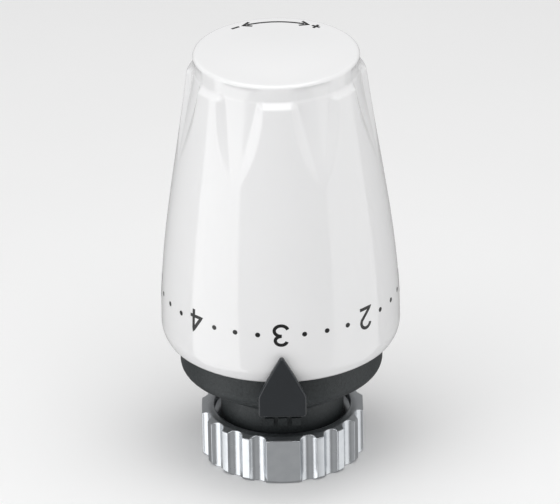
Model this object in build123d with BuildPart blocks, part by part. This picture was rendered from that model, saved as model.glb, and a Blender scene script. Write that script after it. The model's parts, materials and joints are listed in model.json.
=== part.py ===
from build123d import *
import os
from math import asin, degrees

# Thermostatic radiator valve head: a liquid-filled sensor under a turning cap, on a socket that
# an M30 x 1.5 union nut clamps to the valve.
# Millimetres. The origin is on the axis at the nut's mouth, +Z runs up to the cap, and the
# setting pointer is on the -Y side. It is drawn with the dial at 3 and the sensor at 20 degrees.

os.makedirs("parts", exist_ok=True)

# ---------------------------------------------------------------- driving dimensions
# Fits
slide_gap = 0.1          # radial play of what slides or turns in a guide
end_gap = 0.1            # axial play of what turns against a face
pass_gap = 0.5           # air between pieces that only pass each other

# Motion
screw_lead = 7.0         # rise of the cap for one turn
turn_down = 157.5        # degrees from 3 to the frost mark
turn_up = 90.0           # degrees from 3 to 5

# Small edges
small_bevel = 0.4
foot_bevel = 0.6
large_bevel = 1.0

# Union nut
nut_r = 18.35
nut_across_flats = 36.0
nut_thread_r = 14.19     # crests of the M30 x 1.5 thread
nut_thread_length = 4.5
nut_relief_r = 15.1
nut_relief_length = 3.5
nut_lip_r = 13.0
nut_lip_thickness = 1.2
nut_mouth_r = 15.25
nut_mouth_depth = 2.0
nut_chamfer = 0.7
nut_divisions = 20       # finger grooves and flats share this pitch
nut_groove_r = 2.2
nut_groove_depth = 1.35
nut_play = 0.6           # drop of the loose nut on the socket

# Socket (the black foot of the head)
neck_r = 12.4
stem_r = 13.7
stem_length = 6.8        # from the nut's lip to the bowl
seat_rise = 0.1          # valve seat above the nut's last thread
socket_bore_r = 10.5
socket_bore_depth = 7.3
chamber_r = 8.0
chamber_depth = 2.1
web_thickness = 2.0
guide_wall = 1.8
guide_length = 6.5
bowl_cone = 5.7          # height of the bowl's sloping underside
bowl_corner_r = 2.5
bowl_floor_rise = 6.0    # inside floor above the underside's lowest ring
bowl_wall = 1.8
bowl_height = 12.3       # straight wall above the cone
ring_groove_depth = 0.8
ring_thickness = 1.2
ring_reach = 2.4         # how far the retaining ring stands out of its groove's floor
ring_split = 3.0
slip_ring_thickness = 0.6
slip_ring_air = 1.1      # between the slip ring's edge and the nut's relief
tooth_width = 2.0
tooth_pitch = 3.0
tooth_height = 1.8
tooth_reach = 0.5

# Cap
cap_height = 68.9
cap_lift = 19.8          # cap's lower edge above the socket's stem shoulder
cap_wall = 1.8
cap_widest_r = 26.5
cap_widest_rise = 4.0
skirt_inset = 1.5        # the lower edge is this much inside the widest radius
skirt_gap = 0.7          # air between the skirt and the bowl
petal_top_r = 19.7
petal_top_drop = 5.5     # crown down to the petals' upper edge
petal_slope = 1.1        # rise of the petals' sloping top
barrel_low_pull = 0.33   # shares of the outline's height that shape its lower and upper curve
barrel_high_pull = 0.396
barrel_high_reach = 3.0  # outward pull of the upper curve
core_r = 18.3
core_waist_r = 20.0
core_waist_drop = 13.9
crown_wall = 2.4
crown_edge_r = 0.9
crown_rise = 0.5
ceiling_bevel = 1.0
petal_count = 7
valley_foot_half_width = 3.6
valley_rim_half_width = 10.8
valley_foot_inset = 0.6      # the valley's sections, inside and outside the core's radius
valley_rim_reach = 3.9
valley_arch = 0.7            # share of the half width that is left half-way down an arch
valley_spring_drop = 5.5     # crown down to where the valley's sides begin to close
valley_foot_drop = 13.9
valley_rim_drop = 22.4
valley_tip_share = 0.7       # place of the valleys' lower tips on the cap's outline
core_foot_reach = 1.0        # the core's foot, outside and below that place
core_foot_drop = 2.7
crown_boss_r = 8.0
crown_boss_length = 4.3

# Pointer
pointer_width = 10.6
pointer_thickness = 1.2
pointer_gap = 0.7        # air between the cap's widest radius and the pointer
pointer_low_z_rise = 6.2     # pointer's lower edge above the bowl's underside
pointer_shoulder = 4.9   # straight height of its sides
pointer_height = 14.4
pointer_tip_r = 0.8
pointer_bulge = 0.71     # share of the half width that is left at the side's middle
pointer_bulge_rise = 0.33    # height of that place, as a share of the tip's height
pointer_foot_width = 7.0
pointer_foot_gap = 3.5   # air between the foot and the cap's lower edge

# Sleeve, drive ring and stops
sleeve_bore_r = 13.0
sleeve_wall = 3.0
sleeve_height = 19.0
sleeve_foot_thickness = 1.6
groove_width = 2.0
groove_depth = 1.2
lug_count = 2
key_width = 2.2
key_height = 1.0
key_count = 2
drive_ring_wall = 1.8
drive_ring_height = 8.0
drive_ring_flange = 2.0
flange_share = 0.25      # the flange's place on the cap's outline
flange_rise = 13.0       # drive ring's flange above the cap's lower edge
lug_drop = 6.0           # lugs below the flange
stop_tab_width = 3.0
stop_tab_reach = 2.0
clip_width = 5.0
clip_stand = 3.2         # stop's height above the bowl's rim
clip_leg = 5.0
clip_wall = 1.5

# Screws
screw_r = 1.25
screw_head_r = 1.9
screw_head_height = 1.2
screw_length = 8.0
foot_screw_length = 3.4
screw_count = 3
screw_angle = 30         # azimuth of the first screw
boss_r = 2.7
boss_bite = 0.4          # how far the bosses run into the cap's wall
boss_spare = 2.0         # boss length past the screw's tip

# Sensor
can_r = 14.0
can_wall = 0.5
carrier_flange_r = 18.2
carrier_flange_thickness = 1.6
carrier_length = 16.6
carrier_wall = 2.8
washer_thickness = 0.5
end_plate_thickness = 1.5
bush_r = 5.0
bush_below = 1.2
bush_above = 4.0
retainer_wall = 2.3
retainer_height = 3.0
bellows_r = 10.5
bellows_fold = 2.5
bellows_skin = 0.8
bellows_folds = 7
bellows_length = 14.3
bellows_cap_thickness = 1.2
pad_r = 9.0
pad_thickness = 3.0
seal_r = 1.4

# Plunger, overtravel cup and tappet
pin_r = 2.5
cup_wall = 1.5
cup_length = 17.0
cup_lip = 1.2
seat_thickness = 1.5
cup_top_drop = 1.6       # cup's top below the carrier's flange
tappet_r = 5.0
tappet_head_thickness = 1.5
tappet_face_rise = 0.3   # tappet's face above the socket bore's shoulder
spring_wire_r = 0.6
spring_side_gap = 1.0    # air between the spring and the cup's wall
spring_turns = 5

# ---------------------------------------------------------------- heights and radii
nut_lip_z = nut_thread_length + nut_relief_length
shoulder_z = nut_lip_z + nut_lip_thickness
nut_height = shoulder_z + nut_mouth_depth
seat_z = nut_thread_length + seat_rise
bore_end_z = seat_z + socket_bore_depth
web_z = bore_end_z + chamber_depth
web_top_z = web_z + web_thickness
bowl_z = shoulder_z + stem_length
bowl_wall_z = bowl_z + bowl_cone
bowl_rim_z = bowl_wall_z + bowl_height

cap_z = shoulder_z + cap_lift
crown_z = cap_z + cap_height
skirt_r = cap_widest_r - skirt_inset
bowl_r = skirt_r - cap_wall - skirt_gap
bowl_bore_r = bowl_r - bowl_wall

bowl_floor_z = bowl_z + bowl_floor_rise
sleeve_r = sleeve_bore_r + sleeve_wall
sleeve_foot_r = bowl_bore_r - pass_gap
sleeve_top_z = bowl_floor_z + sleeve_height
foot_screw_circle = (sleeve_r + sleeve_foot_r) / 2

flange_z = cap_z + flange_rise
flange_top_z = flange_z + drive_ring_flange
drive_bore_r = sleeve_r + 2 * slide_gap
drive_ring_r = drive_bore_r + drive_ring_wall
lug_z = flange_z - lug_drop
lug_r = groove_width / 2 - slide_gap

carrier_z = flange_top_z + end_gap + washer_thickness
carrier_top_z = carrier_z + carrier_flange_thickness
carrier_r = sleeve_bore_r - 2 * slide_gap
carrier_bore_r = carrier_r - carrier_wall
ceiling_z = crown_z - crown_wall
can_top_z = ceiling_z - crown_boss_length - end_gap - pad_thickness
plate_top_z = carrier_top_z + end_plate_thickness
bellows_top_z = plate_top_z + bellows_length

cup_r = carrier_bore_r - pass_gap
cup_bore_r = cup_r - cup_wall
spring_mean_r = cup_bore_r - spring_side_gap - spring_wire_r
cup_top_z = carrier_z - cup_top_drop
cup_z = cup_top_z - cup_length
seat_disc_z = cup_top_z - seat_thickness
tappet_head_z = cup_z + cup_lip
spring_low_z = tappet_head_z + tappet_head_thickness
tappet_face_z = bore_end_z + tappet_face_rise

petal_top_z = crown_z - petal_top_drop
widest_z = cap_z + cap_widest_rise


def barrel(share):
    """Radius and height on the cap's outline, from its widest ring (0) to the petals' top (1)."""
    rise = petal_top_z - widest_z
    controls = [
        (cap_widest_r, widest_z),
        (cap_widest_r, widest_z + barrel_low_pull * rise),
        (petal_top_r + barrel_high_reach, petal_top_z - barrel_high_pull * rise),
        (petal_top_r, petal_top_z),
    ]
    rest = 1 - share
    weights = [rest ** 3, 3 * share * rest ** 2, 3 * share ** 2 * rest, share ** 3]
    return tuple(sum(w * c[i] for w, c in zip(weights, controls)) for i in (0, 1))


def inside(point, wall=cap_wall):
    """A point moved inwards by the wall."""
    return (point[0] - wall, point[1])


# ---------------------------------------------------------------- union nut
groove_circle = nut_r - nut_groove_depth + nut_groove_r

with BuildPart() as union_nut:
    with BuildSketch(Plane.XZ):
        with BuildLine():
            Polyline(
                (nut_thread_r, 0),
                (nut_r - nut_chamfer, 0),
                (nut_r, nut_chamfer),
                (nut_r, nut_height - nut_chamfer),
                (nut_r - 2 * nut_chamfer, nut_height),
                (nut_mouth_r, nut_height),
                (nut_mouth_r, shoulder_z),
                (nut_lip_r, shoulder_z),
                (nut_lip_r, nut_lip_z),
                (nut_relief_r, nut_lip_z),
                (nut_relief_r, nut_thread_length),
                (nut_thread_r, nut_thread_length),
                close=True,
            )
        make_face()
    revolve(axis=Axis.Z)
    with BuildSketch(Plane.XY):
        Rectangle(nut_across_flats, nut_across_flats)
    extrude(amount=nut_height, mode=Mode.INTERSECT)
    # Every division but the four flats has a groove.
    with BuildSketch(Plane.XY):
        for division in range(nut_divisions):
            if division % (nut_divisions // 4):
                with PolarLocations(groove_circle, 1, division * 360 / nut_divisions):
                    Circle(nut_groove_r)
    extrude(amount=nut_height, mode=Mode.SUBTRACT)
union_nut.part.label = "union_nut"
export_step(union_nut.part, "parts/union_nut.step")

# The slip ring lets the nut turn while it pulls on the socket's retaining ring.
with BuildPart() as slip_ring:
    with BuildSketch(Plane.XY.offset(nut_lip_z - slip_ring_thickness)):
        Circle(nut_relief_r - slip_ring_air)
        Circle(neck_r + 2 * slide_gap, mode=Mode.SUBTRACT)
    extrude(amount=slip_ring_thickness)
slip_ring.part.label = "slip_ring"
export_step(slip_ring.part, "parts/slip_ring.step")

# ---------------------------------------------------------------- socket
ring_z = nut_lip_z - slip_ring_thickness - nut_play - ring_thickness

with BuildPart() as base_socket:
    with BuildSketch(Plane.XZ):
        with BuildLine():
            Polyline(
                (stem_r, shoulder_z),
                (stem_r, bowl_z),
                (bowl_r, bowl_wall_z),
                (bowl_r, bowl_rim_z),
                (bowl_bore_r, bowl_rim_z),
                (bowl_bore_r, bowl_floor_z + large_bevel),
                (bowl_bore_r - large_bevel, bowl_floor_z),
                (socket_bore_r, bowl_floor_z),
                (socket_bore_r, web_top_z),
                (tappet_r + slide_gap + guide_wall, web_top_z),
                (tappet_r + slide_gap + guide_wall, web_z + guide_length),
                (tappet_r + slide_gap, web_z + guide_length),
                (tappet_r + slide_gap, web_z),
                (chamber_r, web_z),
                (chamber_r, bore_end_z),
                (socket_bore_r, bore_end_z),
                (socket_bore_r, seat_z),
                (neck_r, seat_z),
                (neck_r, ring_z),
                (neck_r - ring_groove_depth, ring_z),
                (neck_r - ring_groove_depth, ring_z + ring_thickness),
                (neck_r, ring_z + ring_thickness),
                (neck_r, shoulder_z),
                (stem_r, shoulder_z),
            )
        make_face()
    revolve(axis=Axis.Z)
    rings = base_socket.edges().filter_by(GeomType.CIRCLE)
    bowl_corner = rings.sort_by_distance((bowl_r, 0, bowl_wall_z))[0]
    fillet(bowl_corner, radius=bowl_corner_r)
    # Three short teeth on the stem, under the pointer.
    with BuildSketch(Plane.XY.offset(shoulder_z + stem_length / 2)):
        with Locations((0, -stem_r)):
            with GridLocations(tooth_pitch, 0, 3, 1):
                Rectangle(tooth_width, 2 * tooth_reach)
    extrude(amount=tooth_height)
    with Locations(Plane.XY.offset(bowl_floor_z)):
        with PolarLocations(foot_screw_circle, screw_count, screw_angle):
            Hole(screw_r, depth=foot_screw_length - sleeve_foot_thickness)
base_socket.part.label = "base_socket"
export_step(base_socket.part, "parts/base_socket.step")

# A split ring in the neck's groove keeps the nut on the socket.
with BuildPart() as nut_retaining_ring:
    with BuildSketch(Plane.XY.offset(ring_z)):
        Circle(neck_r - ring_groove_depth + ring_reach)
        Circle(neck_r - ring_groove_depth, mode=Mode.SUBTRACT)
        with Locations((0, neck_r)):
            Rectangle(ring_split, neck_r, mode=Mode.SUBTRACT)
    extrude(amount=ring_thickness)
nut_retaining_ring.part.label = "nut_retaining_ring"
export_step(nut_retaining_ring.part, "parts/nut_retaining_ring.step")

# ---------------------------------------------------------------- pointer
pointer_y = -(cap_widest_r + pointer_gap)
pointer_low_z = bowl_z + pointer_low_z_rise
pointer_shoulder_z = pointer_low_z + pointer_shoulder
pointer_tip_z = pointer_low_z + pointer_height
bulge_x = pointer_bulge * pointer_width / 2
bulge_z = pointer_shoulder_z + pointer_bulge_rise * (pointer_tip_z - pointer_shoulder_z)

with BuildPart() as setting_pointer:
    with BuildSketch(Plane.XZ.offset(-pointer_y)):
        with BuildLine():
            ThreePointArc(
                (pointer_width / 2, pointer_shoulder_z),
                (bulge_x, bulge_z),
                (0, pointer_tip_z + pointer_tip_r),
            )
            ThreePointArc(
                (0, pointer_tip_z + pointer_tip_r),
                (-bulge_x, bulge_z),
                (-pointer_width / 2, pointer_shoulder_z),
            )
            Polyline(
                (-pointer_width / 2, pointer_shoulder_z),
                (-pointer_width / 2, pointer_low_z),
                (pointer_width / 2, pointer_low_z),
                (pointer_width / 2, pointer_shoulder_z),
            )
        make_face()
    extrude(amount=pointer_thickness)
    blade_corners = setting_pointer.edges().filter_by(Axis.Y).group_by(Axis.Z)
    fillet(blade_corners[0] + blade_corners[-1], radius=pointer_tip_r)
    with BuildSketch(Plane.XY.offset(pointer_low_z)):
        with Locations((0, pointer_y / 2)):
            Rectangle(pointer_foot_width, -pointer_y)
        Circle(bowl_r, mode=Mode.SUBTRACT)
    extrude(amount=cap_z - pointer_foot_gap - pointer_low_z)
setting_pointer.part.label = "setting_pointer"
export_step(setting_pointer.part, "parts/setting_pointer.step")

# ---------------------------------------------------------------- thread sleeve and its screws
# Each lug rides in a helical groove, and drops into it down a straight entry slot.
groove_spare = 4.0       # degrees of groove past each end of the dial
groove_start = turn_down + groove_spare
groove_sweep = groove_start + turn_up + groove_spare
groove_z = lug_z - screw_lead * groove_start / 360
groove_rise = screw_lead * groove_sweep / 360
groove_section = groove_depth + pass_gap
groove_path_r = sleeve_r - groove_depth + groove_section / 2
lug_angle = 90

with BuildPart() as groove:
    with BuildLine() as groove_path:
        Helix(
            pitch=screw_lead,
            height=groove_rise,
            radius=groove_path_r,
            center=(0, 0, groove_z),
        )
    groove_start_plane = Plane(origin=groove_path.line @ 0, x_dir=(1, 0, 0), z_dir=groove_path.line % 0)
    with BuildSketch(groove_start_plane):
        Rectangle(groove_section, groove_width)
    sweep(path=groove_path.line, is_frenet=True)
    with BuildSketch(Plane.XY.offset(groove_z + groove_rise)):
        with PolarLocations(groove_path_r, 1, groove_sweep):
            Rectangle(groove_section, groove_width)
    extrude(amount=sleeve_top_z + 1 - groove_z - groove_rise)

with BuildPart() as thread_sleeve:
    with BuildSketch(Plane.XY.offset(bowl_floor_z)):
        Circle(sleeve_r)
    extrude(amount=sleeve_height)
    with BuildSketch(Plane.XY.offset(bowl_floor_z)):
        Circle(sleeve_foot_r)
    extrude(amount=sleeve_foot_thickness)
    chamfer(thread_sleeve.edges().group_by(Axis.Z)[0], length=foot_bevel)
    with PolarLocations(0, lug_count, lug_angle - groove_start):
        add(groove.part, mode=Mode.SUBTRACT)
    with BuildSketch(Plane.XY.offset(bowl_floor_z)):
        Circle(sleeve_bore_r)
        with PolarLocations(sleeve_bore_r, key_count):
            Rectangle(2 * (key_height + slide_gap), key_width + 2 * slide_gap)
    extrude(amount=sleeve_height, mode=Mode.SUBTRACT)
    with Locations(Plane.XY.offset(bowl_floor_z + sleeve_foot_thickness)):
        with PolarLocations(foot_screw_circle, screw_count, screw_angle):
            Hole(screw_r)
thread_sleeve.part.label = "thread_sleeve"
export_step(thread_sleeve.part, "parts/thread_sleeve.step")

foot_head_r = min(screw_head_r, (sleeve_foot_r - sleeve_r) / 2 - slide_gap)
foot_screw_z = bowl_floor_z + sleeve_foot_thickness
with BuildPart() as sleeve_screws:
    with BuildSketch(Plane.XY.offset(foot_screw_z)):
        with PolarLocations(foot_screw_circle, screw_count, screw_angle):
            Circle(foot_head_r)
    extrude(amount=screw_head_height)
    with BuildSketch(Plane.XY.offset(foot_screw_z)):
        with PolarLocations(foot_screw_circle, screw_count, screw_angle):
            Circle(screw_r)
    extrude(amount=-foot_screw_length)
sleeve_screws.part.label = "sleeve_screws"
export_step(sleeve_screws.part, "parts/sleeve_screws.step")

# ---------------------------------------------------------------- limit clips
# The clips sit on the bowl's rim, and the drive ring's tab stops against them at frost and at 5.
stop_r = bowl_bore_r - clip_wall / 2
tab_half = degrees(asin(stop_tab_width / 2 / stop_r))
clip_half = degrees(asin(clip_width / 2 / stop_r))
stop_play = 1.0
low_clip_angle = lug_angle - turn_down - tab_half - clip_half - stop_play
high_clip_angle = lug_angle + turn_up + tab_half + clip_half + stop_play


# A leg inside the wall, a saddle over the rim and the stop above it.
clip_outline = [
    (bowl_bore_r - clip_wall, bowl_rim_z - clip_leg),
    (bowl_bore_r, bowl_rim_z - clip_leg),
    (bowl_bore_r, bowl_rim_z),
    (bowl_r, bowl_rim_z),
    (bowl_r, bowl_rim_z + clip_wall / 2),
    (bowl_bore_r, bowl_rim_z + clip_wall / 2),
    (bowl_bore_r, bowl_rim_z + clip_stand),
    (bowl_bore_r - clip_wall, bowl_rim_z + clip_stand),
]

with BuildPart() as low_limit_clip:
    with BuildSketch(Plane.XZ.rotated((0, 0, low_clip_angle - clip_half))):
        with BuildLine():
            Polyline(*clip_outline, close=True)
        make_face()
    revolve(axis=Axis.Z, revolution_arc=2 * clip_half)
low_limit_clip.part.label = "low_limit_clip"
export_step(low_limit_clip.part, "parts/low_limit_clip.step")

with BuildPart() as high_limit_clip:
    with BuildSketch(Plane.XZ.rotated((0, 0, high_clip_angle - clip_half))):
        with BuildLine():
            Polyline(*clip_outline, close=True)
        make_face()
    revolve(axis=Axis.Z, revolution_arc=2 * clip_half)
high_limit_clip.part.label = "high_limit_clip"
export_step(high_limit_clip.part, "parts/high_limit_clip.step")

# ---------------------------------------------------------------- drive ring and its screws
cap_bore_r = inside(barrel(flange_share))[0]
flange_r = cap_bore_r - slide_gap
boss_circle = flange_r - boss_r + boss_bite

with BuildPart() as drive_ring:
    with BuildSketch(Plane.XY.offset(flange_z - drive_ring_height)):
        Circle(drive_ring_r)
        with Locations((0, (drive_ring_r + stop_tab_reach) / 2)):
            Rectangle(stop_tab_width, drive_ring_r + stop_tab_reach)
    extrude(amount=drive_ring_height)
    with BuildSketch(Plane.XY.offset(flange_z)):
        Circle(flange_r)
    extrude(amount=drive_ring_flange)
    with BuildSketch(Plane.XY.offset(flange_z - drive_ring_height)):
        Circle(drive_bore_r)
    extrude(amount=drive_ring_height + drive_ring_flange, mode=Mode.SUBTRACT)
    # The lugs reach into the sleeve's grooves.
    for lug in range(lug_count):
        angle = lug_angle + lug * 360 / lug_count
        lug_plane = Plane.YZ.rotated((0, 0, angle)).offset(sleeve_r - groove_depth + 2 * slide_gap)
        with BuildSketch(lug_plane):
            with Locations((0, lug_z)):
                Circle(lug_r)
        extrude(amount=groove_depth + drive_ring_wall / 2)
    with Locations(Plane.XY.offset(flange_top_z)):
        with PolarLocations(boss_circle, screw_count, screw_angle):
            Hole(screw_r + slide_gap)
drive_ring.part.label = "drive_ring"
export_step(drive_ring.part, "parts/drive_ring.step")

with BuildPart() as drive_ring_screws:
    with BuildSketch(Plane.XY.offset(flange_z)):
        with PolarLocations(boss_circle, screw_count, screw_angle):
            Circle(screw_head_r)
    extrude(amount=-screw_head_height)
    with BuildSketch(Plane.XY.offset(flange_z)):
        with PolarLocations(boss_circle, screw_count, screw_angle):
            Circle(screw_r)
    extrude(amount=screw_length)
drive_ring_screws.part.label = "drive_ring_screws"
export_step(drive_ring_screws.part, "parts/drive_ring_screws.step")

# ---------------------------------------------------------------- cap
valley_tip_r, valley_tip_z = barrel(valley_tip_share)
waist_z = crown_z - core_waist_drop
ledge_z = petal_top_z + petal_slope
above_z = crown_z + 1    # cutters reach past the crown
core_foot = (valley_tip_r + core_foot_reach, valley_tip_z - core_foot_drop)

with BuildPart() as cavity:
    with BuildSketch(Plane.XZ):
        with BuildLine():
            TangentArc(inside(barrel(0)), (skirt_r - cap_wall, cap_z), tangent=(0, -1))
            Polyline(
                (skirt_r - cap_wall, cap_z),
                (0, cap_z),
                (0, ceiling_z),
                (core_r - cap_wall - ceiling_bevel, ceiling_z),
                (core_r - cap_wall, ceiling_z - ceiling_bevel),
            )
            ThreePointArc(
                (core_r - cap_wall, ceiling_z - ceiling_bevel),
                (core_waist_r - cap_wall, waist_z),
                inside(barrel(valley_tip_share)),
            )
            Spline(*[inside(barrel(share)) for share in (valley_tip_share, 0.5, flange_share, 0)])
        make_face()
    revolve(axis=Axis.Z)
    # What is left standing in the cavity: screw bosses on webs, and the boss over the sensor.
    with BuildSketch(Plane.XY.offset(flange_top_z)):
        with PolarLocations(boss_circle, screw_count, screw_angle):
            Circle(boss_r)
            with Locations((boss_r, 0)):
                Rectangle(2 * boss_r, boss_r)
    extrude(amount=screw_length + boss_spare, mode=Mode.SUBTRACT)
    with BuildSketch(Plane.XY.offset(ceiling_z)):
        Circle(crown_boss_r)
        Circle(crown_boss_r - cap_wall, mode=Mode.SUBTRACT)
    extrude(amount=-crown_boss_length, mode=Mode.SUBTRACT)

with BuildPart() as core:
    with BuildSketch(Plane.XZ):
        with BuildLine():
            ThreePointArc(core_foot, (core_waist_r, waist_z), (core_r, ledge_z))
            Polyline((core_r, ledge_z), (core_r, above_z), (0, above_z), (0, core_foot[1]), core_foot)
        make_face()
    revolve(axis=Axis.Z)


# Each valley between two petals is an arch that stands on its point and opens outwards.
# The first is half a pitch from -Y, so that one petal faces the pointer.
arch_z = crown_z - valley_spring_drop
valley_sections = [
    (core_r - valley_foot_inset, valley_foot_half_width, crown_z - valley_foot_drop),
    (core_r + valley_rim_reach, valley_rim_half_width, crown_z - valley_rim_drop),
]
with BuildPart() as valley:
    for distance, half_width, tip_z in valley_sections:
        middle = (valley_arch * half_width, (arch_z + tip_z) / 2)
        with BuildSketch(Plane.YZ.offset(distance)):
            with BuildLine():
                ThreePointArc((half_width, arch_z), middle, (0, tip_z))
                ThreePointArc((0, tip_z), (-middle[0], middle[1]), (-half_width, arch_z))
                Polyline(
                    (-half_width, arch_z),
                    (-half_width, above_z),
                    (half_width, above_z),
                    (half_width, arch_z),
                )
            make_face()
    loft(ruled=True)
    add(core.part, mode=Mode.SUBTRACT)

with BuildPart() as control_cap:
    with BuildSketch(Plane.XZ):
        with BuildLine():
            TangentArc(barrel(0), (skirt_r, cap_z), tangent=(0, -1))
            Polyline((skirt_r, cap_z), (0, cap_z), (0, crown_z))
            ThreePointArc(
                (0, crown_z),
                (core_r / 2, crown_z - crown_rise / 4),
                (core_r - crown_edge_r, crown_z - crown_rise),
            )
            TangentArc(
                (core_r - crown_edge_r, crown_z - crown_rise),
                (core_r, crown_z - crown_rise - crown_edge_r),
                tangent=(1, 0),
            )
            Polyline((core_r, crown_z - crown_rise - crown_edge_r), (core_r, ledge_z), barrel(1))
            Spline(*[barrel(share) for share in (1, 0.75, 0.5, 0.25, 0)])
        make_face()
    revolve(axis=Axis.Z)
    with PolarLocations(0, petal_count, 180 / petal_count - 90):
        add(valley.part, mode=Mode.SUBTRACT)
    add(cavity.part, mode=Mode.SUBTRACT)
    with BuildSketch(Plane.XY.offset(flange_top_z)):
        with PolarLocations(boss_circle, screw_count, screw_angle):
            Circle(screw_r)
    extrude(amount=screw_length - drive_ring_flange, mode=Mode.SUBTRACT)
control_cap.part.label = "control_cap"
export_step(control_cap.part, "parts/control_cap.step")

# ---------------------------------------------------------------- sensor
with BuildPart() as sensor_carrier:
    with BuildSketch(Plane.XY.offset(carrier_z - carrier_length)):
        Circle(carrier_r)
        with PolarLocations(carrier_r, key_count):
            Rectangle(2 * key_height, key_width)
    extrude(amount=carrier_length)
    with BuildSketch(Plane.XY.offset(carrier_z)):
        Circle(carrier_flange_r)
    extrude(amount=carrier_flange_thickness)
    with BuildSketch(Plane.XY.offset(carrier_z - carrier_length)):
        Circle(carrier_bore_r)
    extrude(amount=carrier_length + carrier_flange_thickness, mode=Mode.SUBTRACT)
sensor_carrier.part.label = "sensor_carrier"
export_step(sensor_carrier.part, "parts/sensor_carrier.step")

with BuildPart() as thrust_washer:
    with BuildSketch(Plane.XY.offset(carrier_z - washer_thickness)):
        Circle(carrier_flange_r)
        Circle(carrier_r + key_height + pass_gap, mode=Mode.SUBTRACT)
    extrude(amount=washer_thickness)
thrust_washer.part.label = "thrust_washer"
export_step(thrust_washer.part, "parts/thrust_washer.step")

with BuildPart() as sensor_can:
    with BuildSketch(Plane.XY.offset(carrier_top_z)):
        Circle(can_r)
    extrude(amount=can_top_z - carrier_top_z)
    fillet(sensor_can.edges().group_by(Axis.Z)[-1], radius=3 * can_wall)
    with BuildSketch(Plane.XY.offset(carrier_top_z)):
        Circle(can_r - can_wall)
    extrude(amount=can_top_z - can_wall - carrier_top_z - can_wall, mode=Mode.SUBTRACT)
sensor_can.part.label = "sensor_can"
export_step(sensor_can.part, "parts/sensor_can.step")

with BuildPart() as sensor_end_plate:
    with BuildSketch(Plane.XY.offset(carrier_top_z)):
        Circle(can_r - can_wall)
        Circle(bush_r, mode=Mode.SUBTRACT)
    extrude(amount=end_plate_thickness)
sensor_end_plate.part.label = "sensor_end_plate"
export_step(sensor_end_plate.part, "parts/sensor_end_plate.step")

with BuildPart() as plunger_bush:
    with BuildSketch(Plane.XY.offset(carrier_top_z - bush_below)):
        Circle(bush_r)
        Circle(pin_r + slide_gap, mode=Mode.SUBTRACT)
    extrude(amount=bush_below + end_plate_thickness + bush_above)
    chamfer(plunger_bush.edges().group_by(Axis.Z)[-1], length=small_bevel)
plunger_bush.part.label = "plunger_bush"
export_step(plunger_bush.part, "parts/plunger_bush.step")

with BuildPart() as can_retaining_ring:
    with BuildSketch(Plane.XY.offset(carrier_top_z)):
        Circle(can_r + retainer_wall)
        Circle(can_r, mode=Mode.SUBTRACT)
    extrude(amount=retainer_height)
    chamfer(can_retaining_ring.edges().group_by(Axis.Z)[-1].sort_by(SortBy.RADIUS)[-1], length=large_bevel)
can_retaining_ring.part.label = "can_retaining_ring"
export_step(can_retaining_ring.part, "parts/can_retaining_ring.step")

fold_pitch = bellows_length / bellows_folds
fold_outline = [(bellows_r - bellows_fold, plate_top_z)]
for fold in range(bellows_folds):
    fold_outline.append((bellows_r, plate_top_z + (fold + 0.5) * fold_pitch))
    fold_outline.append((bellows_r - bellows_fold, plate_top_z + (fold + 1) * fold_pitch))
fold_inside = [inside(point, bellows_skin) for point in reversed(fold_outline)]

with BuildPart() as bellows:
    with BuildSketch(Plane.XZ):
        with BuildLine():
            Polyline(*fold_outline, *fold_inside, close=True)
        make_face()
    revolve(axis=Axis.Z)
bellows.part.label = "bellows"
export_step(bellows.part, "parts/bellows.step")

with BuildPart() as top_thrust_pad:
    with BuildSketch(Plane.XY.offset(can_top_z)):
        Circle(pad_r)
        Circle(2 * seal_r, mode=Mode.SUBTRACT)
    extrude(amount=pad_thickness)
    chamfer(top_thrust_pad.edges().group_by(Axis.Z)[-1].sort_by(SortBy.RADIUS)[-1], length=small_bevel)
top_thrust_pad.part.label = "top_thrust_pad"
export_step(top_thrust_pad.part, "parts/top_thrust_pad.step")

with BuildPart() as fill_seal:
    with BuildSketch(Plane.XY.offset(can_top_z)):
        Circle(seal_r)
    extrude(amount=pad_thickness - pass_gap)
    fillet(fill_seal.edges().group_by(Axis.Z)[-1], radius=seal_r / 2)
fill_seal.part.label = "fill_seal"
export_step(fill_seal.part, "parts/fill_seal.step")

# ---------------------------------------------------------------- plunger and overtravel cup
with BuildPart() as plunger_pin:
    with BuildSketch(Plane.XY.offset(cup_top_z)):
        Circle(pin_r)
    extrude(amount=bellows_top_z - cup_top_z)
    chamfer(plunger_pin.edges().group_by(Axis.Z)[0], length=small_bevel)
plunger_pin.part.label = "plunger_pin"
export_step(plunger_pin.part, "parts/plunger_pin.step")

with BuildPart() as bellows_cap:
    with BuildSketch(Plane.XY.offset(bellows_top_z)):
        Circle(bellows_r - bellows_fold)
    extrude(amount=bellows_cap_thickness)
    chamfer(bellows_cap.edges().group_by(Axis.Z)[-1], length=small_bevel)
bellows_cap.part.label = "bellows_cap"
export_step(bellows_cap.part, "parts/bellows_cap.step")

with BuildPart() as overtravel_cup:
    with BuildSketch(Plane.XZ):
        with BuildLine():
            Polyline(
                (tappet_r + slide_gap, cup_z),
                (cup_r, cup_z),
                (cup_r, cup_top_z),
                (cup_bore_r, cup_top_z),
                (cup_bore_r, tappet_head_z),
                (tappet_r + slide_gap, tappet_head_z),
                close=True,
            )
        make_face()
    revolve(axis=Axis.Z)
overtravel_cup.part.label = "overtravel_cup"
export_step(overtravel_cup.part, "parts/overtravel_cup.step")

with BuildPart() as overtravel_seat:
    with BuildSketch(Plane.XY.offset(seat_disc_z)):
        Circle(cup_bore_r)
    extrude(amount=seat_thickness)
overtravel_seat.part.label = "overtravel_seat"
export_step(overtravel_seat.part, "parts/overtravel_seat.step")

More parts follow.
